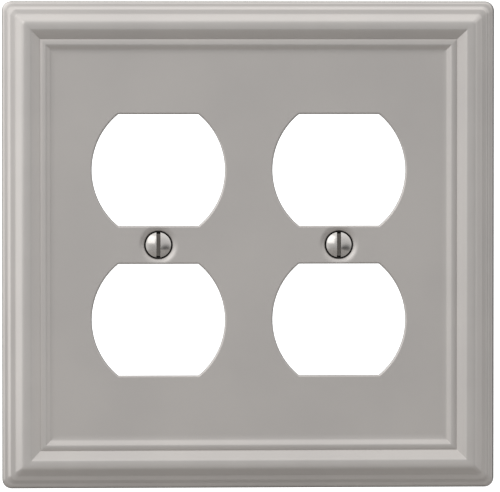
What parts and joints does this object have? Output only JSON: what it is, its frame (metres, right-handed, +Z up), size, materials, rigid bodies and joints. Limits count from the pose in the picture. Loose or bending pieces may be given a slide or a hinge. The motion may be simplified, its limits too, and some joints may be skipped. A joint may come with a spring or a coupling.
{
  "type": "wall plate cover",
  "caption": "Square stepped wall plate that covers receptacles side by side, with openings for duplex outlets and slotted oval-head screws.",
  "frame": {"origin": "centre of the plate on the wall plane, midway between the two screws", "axes": "+X across the plate to the right as seen from the front, -Y out of the wall towards the viewer, +Y into the wall along the screws, +Z up"},
  "size_m": [0.1254, 0.019, 0.124],
  "materials": {
    "plate_nickel": "satin nickel plated, warm grey",
    "screw_nickel": "polished nickel plated",
    "washer_fibre": "dull vulcanised fibre"
  },
  "bodies": {
    "plate": {"face_plate": "plate_nickel"},
    "left_washer": {"left_washer": "washer_fibre"},
    "left_screw": {"left_screw": "screw_nickel"},
    "right_washer": {"right_washer": "washer_fibre"},
    "right_screw": {"right_screw": "screw_nickel"}
  },
  "joints": [
    {"name": "left_screw_turn", "type": "hinge", "parent": "plate", "child": "left_washer", "pos_m": [-0.02302, 0, 0], "axis": [0, -1, 0], "range_deg": [0, 4951]},
    {"name": "left_screw_travel", "type": "slide", "parent": "left_washer", "child": "left_screw", "axis": [0, -1, 0], "range_m": [0, 0.01091]},
    {"name": "right_screw_turn", "type": "hinge", "parent": "plate", "child": "right_washer", "pos_m": [0.02302, 0, 0], "axis": [0, -1, 0], "range_deg": [0, 4951]},
    {"name": "right_screw_travel", "type": "slide", "parent": "right_washer", "child": "right_screw", "axis": [0, -1, 0], "range_m": [0, 0.01091]}
  ],
  "couplings": [
    {"joint": "left_screw_turn", "follows": "left_screw_travel", "rad_per_m": 7915.8},
    {"joint": "right_screw_turn", "follows": "right_screw_travel", "rad_per_m": 7915.8}
  ]
}
